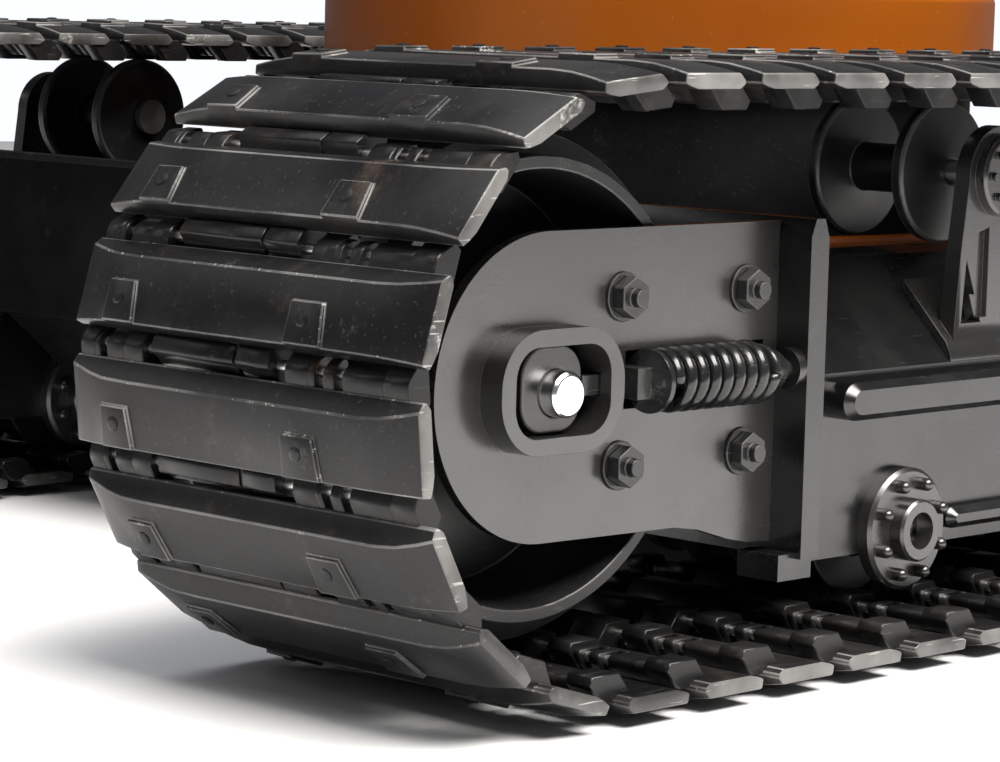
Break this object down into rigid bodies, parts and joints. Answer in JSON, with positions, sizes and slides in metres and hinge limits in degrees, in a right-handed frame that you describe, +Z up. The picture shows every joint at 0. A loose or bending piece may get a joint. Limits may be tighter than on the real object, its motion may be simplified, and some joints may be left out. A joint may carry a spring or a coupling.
{
  "type": "tracked tank chassis",
  "caption": "Chain track chassis with two jointed shoe tracks, sprung idlers, rollers, driven sprockets, a centre hull and a round orange housing.",
  "frame": {"origin": "on the ground, below the middle of the chassis", "axes": "+X forwards towards the idlers, +Y to the left, +Z up"},
  "size_m": [0.309, 0.215, 0.0841],
  "materials": {
    "track_plastic": "injection moulded black plastic, satin with scuffs and pale worn edges",
    "frame_plastic": "black moulded plastic, low gloss",
    "guard_plastic": "black moulded plastic with a soft sheen",
    "wheel_plastic": "black moulded plastic, semi-matt",
    "bolt_plastic": "black moulded nuts and studs, glossy",
    "polished_steel": "polished steel",
    "pin_steel": "drawn steel wire",
    "dark_steel": "black glossy moulding",
    "spring_steel": "blackened spring steel",
    "motor_metal": "plain metal motor can",
    "orange_plastic": "orange paint, glossy"
  },
  "bodies": {
    "chassis": {"hull_tub": "frame_plastic", "hull_deck": "frame_plastic", "deck_screws": "polished_steel", "turret_housing": "orange_plastic", "housing_lid": "frame_plastic", "drive_motors": "motor_metal", "final_drives": "frame_plastic", "guard_bolts": "bolt_plastic", "roller_shafts": "pin_steel", "roller_caps": "guard_plastic", "carrier_shafts": "pin_steel", "carrier_brackets": "guard_plastic", "left_frame": "frame_plastic", "left_bulkhead": "frame_plastic", "left_outer_guard": "guard_plastic", "left_inner_guard": "guard_plastic", "right_frame": "frame_plastic", "right_bulkhead": "frame_plastic", "right_outer_guard": "guard_plastic", "right_inner_guard": "guard_plastic"},
    "left_drive": {"left_sprocket": "wheel_plastic", "left_shoes_sprocket": "track_plastic", "left_pins_sprocket": "pin_steel"},
    "left_idler_carriage": {"left_idler_axle": "polished_steel", "left_axle_sliders": "frame_plastic", "left_tension_rod": "dark_steel", "left_recoil_spring": "spring_steel"},
    "left_idler": {"left_idler_wheel": "wheel_plastic"},
    "left_chain_idler": {"left_shoes_idler": "track_plastic", "left_pins_idler": "pin_steel"},
    "left_chain_upper": {"left_shoes_upper": "track_plastic", "left_pins_upper": "pin_steel"},
    "left_chain_lower": {"left_shoes_lower": "track_plastic", "left_pins_lower": "pin_steel"},
    "left_roller_1": {"left_bottom_roller_1": "wheel_plastic"},
    "left_roller_2": {"left_bottom_roller_2": "wheel_plastic"},
    "left_roller_3": {"left_bottom_roller_3": "wheel_plastic"},
    "left_roller_4": {"left_bottom_roller_4": "wheel_plastic"},
    "left_carrier_1": {"left_carrier_roller_1": "wheel_plastic"},
    "left_carrier_2": {"left_carrier_roller_2": "wheel_plastic"},
    "right_drive": {"right_sprocket": "wheel_plastic", "right_shoes_sprocket": "track_plastic", "right_pins_sprocket": "pin_steel"},
    "right_idler_carriage": {"right_idler_axle": "polished_steel", "right_axle_sliders": "frame_plastic", "right_tension_rod": "dark_steel", "right_recoil_spring": "spring_steel"},
    "right_idler": {"right_idler_wheel": "wheel_plastic"},
    "right_chain_idler": {"right_shoes_idler": "track_plastic", "right_pins_idler": "pin_steel"},
    "right_chain_upper": {"right_shoes_upper": "track_plastic", "right_pins_upper": "pin_steel"},
    "right_chain_lower": {"right_shoes_lower": "track_plastic", "right_pins_lower": "pin_steel"},
    "right_roller_1": {"right_bottom_roller_1": "wheel_plastic"},
    "right_roller_2": {"right_bottom_roller_2": "wheel_plastic"},
    "right_roller_3": {"right_bottom_roller_3": "wheel_plastic"},
    "right_roller_4": {"right_bottom_roller_4": "wheel_plastic"},
    "right_carrier_1": {"right_carrier_roller_1": "wheel_plastic"},
    "right_carrier_2": {"right_carrier_roller_2": "wheel_plastic"}
  },
  "joints": [
    {"name": "left_drive_turn", "type": "hinge", "parent": "chassis", "child": "left_drive", "pos_m": [-0.12, 0.0765, 0.03456], "axis": [0, 1, 0], "range_deg": [-5.85, 16.65]},
    {"name": "left_chain_idler_turn", "type": "hinge", "parent": "chassis", "child": "left_chain_idler", "pos_m": [0.12, 0.0765, 0.03456], "axis": [0, 1, 0], "range_deg": [-5.85, 16.65]},
    {"name": "left_chain_upper_slide", "type": "slide", "parent": "chassis", "child": "left_chain_upper", "axis": [1, 0, 0], "range_m": [-0.00312, 0.00888]},
    {"name": "left_chain_lower_slide", "type": "slide", "parent": "chassis", "child": "left_chain_lower", "axis": [-1, 0, 0], "range_m": [-0.00312, 0.00888]},
    {"name": "left_idler_recoil", "type": "slide", "parent": "chassis", "child": "left_idler_carriage", "axis": [1, 0, 0], "range_m": [-0.0024, 0], "stiffness_N_per_m": 800, "springref_m": 0.003, "deforming": ["left_recoil_spring"]},
    {"name": "left_idler_turn", "type": "hinge", "parent": "left_idler_carriage", "child": "left_idler", "pos_m": [0.12, 0.0765, 0.03356], "axis": [0, 1, 0], "range_deg": [-5.85, 16.65]},
    {"name": "left_roller_1_turn", "type": "hinge", "parent": "chassis", "child": "left_roller_1", "pos_m": [0.0595, 0.0765, 0.01356], "axis": [0, 1, 0], "range_deg": [-23.22, 66.08]},
    {"name": "left_roller_2_turn", "type": "hinge", "parent": "chassis", "child": "left_roller_2", "pos_m": [0.01983, 0.0765, 0.01356], "axis": [0, 1, 0], "range_deg": [-23.22, 66.08]},
    {"name": "left_roller_3_turn", "type": "hinge", "parent": "chassis", "child": "left_roller_3", "pos_m": [-0.01983, 0.0765, 0.01356], "axis": [0, 1, 0], "range_deg": [-23.22, 66.08]},
    {"name": "left_roller_4_turn", "type": "hinge", "parent": "chassis", "child": "left_roller_4", "pos_m": [-0.0595, 0.0765, 0.01356], "axis": [0, 1, 0], "range_deg": [-23.22, 66.08]},
    {"name": "left_carrier_1_turn", "type": "hinge", "parent": "chassis", "child": "left_carrier_1", "pos_m": [0.0405, 0.0765, 0.05456], "axis": [0, 1, 0], "range_deg": [-20.55, 58.49]},
    {"name": "left_carrier_2_turn", "type": "hinge", "parent": "chassis", "child": "left_carrier_2", "pos_m": [-0.0405, 0.0765, 0.05456], "axis": [0, 1, 0], "range_deg": [-20.55, 58.49]},
    {"name": "right_drive_turn", "type": "hinge", "parent": "chassis", "child": "right_drive", "pos_m": [-0.12, -0.0765, 0.03456], "axis": [0, 1, 0], "range_deg": [-5.85, 16.65]},
    {"name": "right_chain_idler_turn", "type": "hinge", "parent": "chassis", "child": "right_chain_idler", "pos_m": [0.12, -0.0765, 0.03456], "axis": [0, 1, 0], "range_deg": [-5.85, 16.65]},
    {"name": "right_chain_upper_slide", "type": "slide", "parent": "chassis", "child": "right_chain_upper", "axis": [1, 0, 0], "range_m": [-0.00312, 0.00888]},
    {"name": "right_chain_lower_slide", "type": "slide", "parent": "chassis", "child": "right_chain_lower", "axis": [-1, 0, 0], "range_m": [-0.00312, 0.00888]},
    {"name": "right_idler_recoil", "type": "slide", "parent": "chassis", "child": "right_idler_carriage", "axis": [1, 0, 0], "range_m": [-0.0024, 0], "stiffness_N_per_m": 800, "springref_m": 0.003, "deforming": ["right_recoil_spring"]},
    {"name": "right_idler_turn", "type": "hinge", "parent": "right_idler_carriage", "child": "right_idler", "pos_m": [0.12, -0.0765, 0.03356], "axis": [0, 1, 0], "range_deg": [-5.85, 16.65]},
    {"name": "right_roller_1_turn", "type": "hinge", "parent": "chassis", "child": "right_roller_1", "pos_m": [0.0595, -0.0765, 0.01356], "axis": [0, 1, 0], "range_deg": [-23.22, 66.08]},
    {"name": "right_roller_2_turn", "type": "hinge", "parent": "chassis", "child": "right_roller_2", "pos_m": [0.01983, -0.0765, 0.01356], "axis": [0, 1, 0], "range_deg": [-23.22, 66.08]},
    {"name": "right_roller_3_turn", "type": "hinge", "parent": "chassis", "child": "right_roller_3", "pos_m": [-0.01983, -0.0765, 0.01356], "axis": [0, 1, 0], "range_deg": [-23.22, 66.08]},
    {"name": "right_roller_4_turn", "type": "hinge", "parent": "chassis", "child": "right_roller_4", "pos_m": [-0.0595, -0.0765, 0.01356], "axis": [0, 1, 0], "range_deg": [-23.22, 66.08]},
    {"name": "right_carrier_1_turn", "type": "hinge", "parent": "chassis", "child": "right_carrier_1", "pos_m": [0.0405, -0.0765, 0.05456], "axis": [0, 1, 0], "range_deg": [-20.55, 58.49]},
    {"name": "right_carrier_2_turn", "type": "hinge", "parent": "chassis", "child": "right_carrier_2", "pos_m": [-0.0405, -0.0765, 0.05456], "axis": [0, 1, 0], "range_deg": [-20.55, 58.49]}
  ],
  "couplings": [
    {"joint": "left_chain_idler_turn", "follows": "left_drive_turn", "ratio": 1},
    {"joint": "left_chain_upper_slide", "follows": "left_drive_turn", "m_per_rad": 0.030558},
    {"joint": "left_chain_lower_slide", "follows": "left_drive_turn", "m_per_rad": 0.030558},
    {"joint": "left_idler_turn", "follows": "left_drive_turn", "ratio": 1},
    {"joint": "left_roller_1_turn", "follows": "left_drive_turn", "ratio": 3.9685},
    {"joint": "left_roller_2_turn", "follows": "left_drive_turn", "ratio": 3.9685},
    {"joint": "left_roller_3_turn", "follows": "left_drive_turn", "ratio": 3.9685},
    {"joint": "left_roller_4_turn", "follows": "left_drive_turn", "ratio": 3.9685},
    {"joint": "left_carrier_1_turn", "follows": "left_drive_turn", "ratio": 3.5124},
    {"joint": "left_carrier_2_turn", "follows": "left_drive_turn", "ratio": 3.5124},
    {"joint": "right_chain_idler_turn", "follows": "right_drive_turn", "ratio": 1},
    {"joint": "right_chain_upper_slide", "follows": "right_drive_turn", "m_per_rad": 0.030558},
    {"joint": "right_chain_lower_slide", "follows": "right_drive_turn", "m_per_rad": 0.030558},
    {"joint": "right_idler_turn", "follows": "right_drive_turn", "ratio": 1},
    {"joint": "right_roller_1_turn", "follows": "right_drive_turn", "ratio": 3.9685},
    {"joint": "right_roller_2_turn", "follows": "right_drive_turn", "ratio": 3.9685},
    {"joint": "right_roller_3_turn", "follows": "right_drive_turn", "ratio": 3.9685},
    {"joint": "right_roller_4_turn", "follows": "right_drive_turn", "ratio": 3.9685},
    {"joint": "right_carrier_1_turn", "follows": "right_drive_turn", "ratio": 3.5124},
    {"joint": "right_carrier_2_turn", "follows": "right_drive_turn", "ratio": 3.5124}
  ]
}
